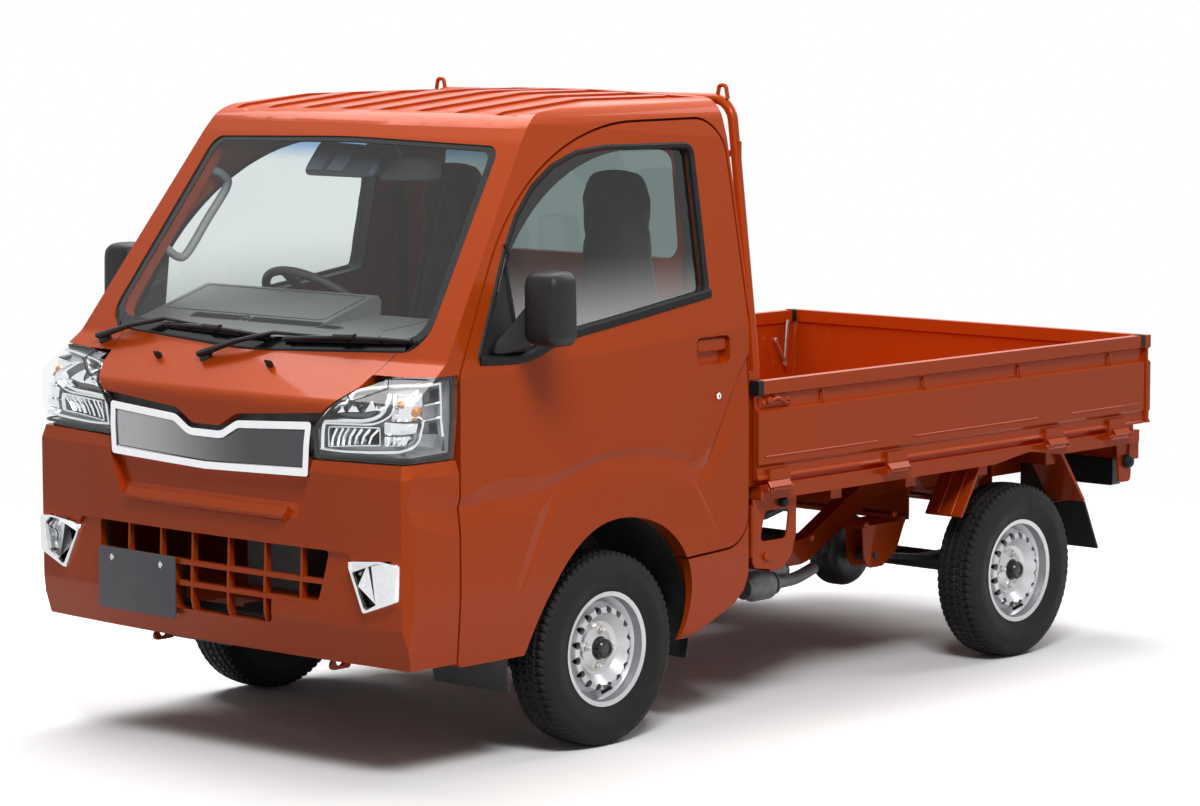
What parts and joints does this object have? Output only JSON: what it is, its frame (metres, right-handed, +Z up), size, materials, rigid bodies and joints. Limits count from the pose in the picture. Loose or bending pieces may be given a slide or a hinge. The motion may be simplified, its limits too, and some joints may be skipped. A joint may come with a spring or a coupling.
{
  "type": "kei truck",
  "caption": "Small cab-over flatbed truck with a two-seat cab, two hinged doors and three drop sides around an open bed.",
  "frame": {"origin": "bottom centre of the vehicle's box, on the floor the tyres stand on", "axes": "+Z up, -Y towards the nose, +X towards the vehicle's left"},
  "size_m": [1.8152, 3.395, 1.8],
  "materials": {
    "body_paint": "orange metallic paint",
    "frame_paint": "black chassis paint",
    "black_plastic": "grained black",
    "grey_plastic": "grained grey",
    "bright_trim": "bright plated",
    "lamp_glass": "clear lens",
    "lamp_red": "red lens",
    "glass": "clear, slightly green",
    "seat_cloth": "dark woven cloth",
    "rubber": "moulded",
    "tyre": "moulded tread",
    "wheel_silver": "silver paint",
    "cast_metal": "as cast",
    "raw_steel": "dull steel"
  },
  "bodies": {
    "root": {"cross_tubes": "frame_paint", "chassis_rail_left": "frame_paint", "chassis_rail_right": "frame_paint", "cab_shell": "body_paint", "roof_panel": "body_paint", "front_panel": "body_paint", "front_carrier": "black_plastic", "front_bumper": "body_paint", "front_grille": "bright_trim", "headlamps": "lamp_glass", "fog_lamps": "bright_trim", "windscreen": "glass", "rear_window": "glass", "dashboard": "grey_plastic", "steering_column": "grey_plastic", "seat_cushions": "seat_cloth", "seat_backs": "seat_cloth", "interior_mirror": "grey_plastic", "bed_floor": "body_paint", "bed_headboard": "body_paint", "guard_frame": "body_paint", "fender_plates": "body_paint", "mud_flaps": "rubber", "rear_beam": "body_paint", "rear_lamps": "lamp_red", "engine_block": "cast_metal", "rear_axle": "frame_paint", "leaf_springs": "frame_paint", "front_suspension": "frame_paint", "exhaust_pipe": "raw_steel", "fuel_tank": "frame_paint"},
    "door_left": {"door_panel_left": "body_paint", "door_glass_left": "glass", "door_mirror_left": "black_plastic"},
    "door_right": {"door_panel_right": "body_paint", "door_glass_right": "glass", "door_mirror_right": "black_plastic"},
    "side_gate_left": {"side_gate_left": "body_paint"},
    "side_gate_right": {"side_gate_right": "body_paint"},
    "tailgate": {"tailgate": "body_paint"},
    "knuckle_left": {"knuckle_left": "cast_metal"},
    "knuckle_right": {"knuckle_right": "cast_metal"},
    "steering_wheel": {"steering_wheel": "grey_plastic"},
    "wheel_front_left": {"tyre_front_left": "tyre", "rim_front_left": "wheel_silver"},
    "wheel_front_right": {"tyre_front_right": "tyre", "rim_front_right": "wheel_silver"},
    "wheel_rear_left": {"tyre_rear_left": "tyre", "rim_rear_left": "wheel_silver"},
    "wheel_rear_right": {"tyre_rear_right": "tyre", "rim_rear_right": "wheel_silver"}
  },
  "joints": [
    {"name": "door_left_hinge", "type": "hinge", "parent": "root", "child": "door_left", "pos_m": [0.7365, -1.4645, 0.7], "axis": [0, 0, -1], "range_deg": [0, 70]},
    {"name": "side_gate_left_hinge", "type": "hinge", "parent": "root", "child": "side_gate_left", "pos_m": [0.7475, 0.5, 0.65], "axis": [0, 1, 0], "range_deg": [0, 178]},
    {"name": "steer_left", "type": "hinge", "parent": "root", "child": "knuckle_left", "pos_m": [0.62, -0.8725, 0.27], "axis": [0, 0, 1], "range_deg": [-34, 34]},
    {"name": "spin_front_left", "type": "hinge", "parent": "knuckle_left", "child": "wheel_front_left", "pos_m": [0.652, -0.8725, 0.27], "axis": [1, 0, 0], "continuous": true},
    {"name": "spin_rear_left", "type": "hinge", "parent": "root", "child": "wheel_rear_left", "pos_m": [0.652, 1.0275, 0.27], "axis": [1, 0, 0], "continuous": true},
    {"name": "door_right_hinge", "type": "hinge", "parent": "root", "child": "door_right", "pos_m": [-0.7365, -1.4645, 0.7], "axis": [0, 0, 1], "range_deg": [0, 70]},
    {"name": "side_gate_right_hinge", "type": "hinge", "parent": "root", "child": "side_gate_right", "pos_m": [-0.7475, 0.5, 0.65], "axis": [0, -1, 0], "range_deg": [0, 178]},
    {"name": "steer_right", "type": "hinge", "parent": "root", "child": "knuckle_right", "pos_m": [-0.62, -0.8725, 0.27], "axis": [0, 0, 1], "range_deg": [-34, 34]},
    {"name": "spin_front_right", "type": "hinge", "parent": "knuckle_right", "child": "wheel_front_right", "pos_m": [-0.652, -0.8725, 0.27], "axis": [1, 0, 0], "continuous": true},
    {"name": "spin_rear_right", "type": "hinge", "parent": "root", "child": "wheel_rear_right", "pos_m": [-0.652, 1.0275, 0.27], "axis": [1, 0, 0], "continuous": true},
    {"name": "tailgate_hinge", "type": "hinge", "parent": "root", "child": "tailgate", "pos_m": [0, 1.6895, 0.646], "axis": [-1, 0, 0], "range_deg": [0, 90]},
    {"name": "steering_wheel_spin", "type": "hinge", "parent": "root", "child": "steering_wheel", "pos_m": [-0.34, -0.9355, 1.15], "axis": [0, 0.6428, 0.766], "range_deg": [-560, 560]}
  ],
  "couplings": [
    {"joint": "steer_right", "follows": "steer_left", "ratio": 1},
    {"joint": "steering_wheel_spin", "follows": "steer_left", "ratio": 16}
  ]
}
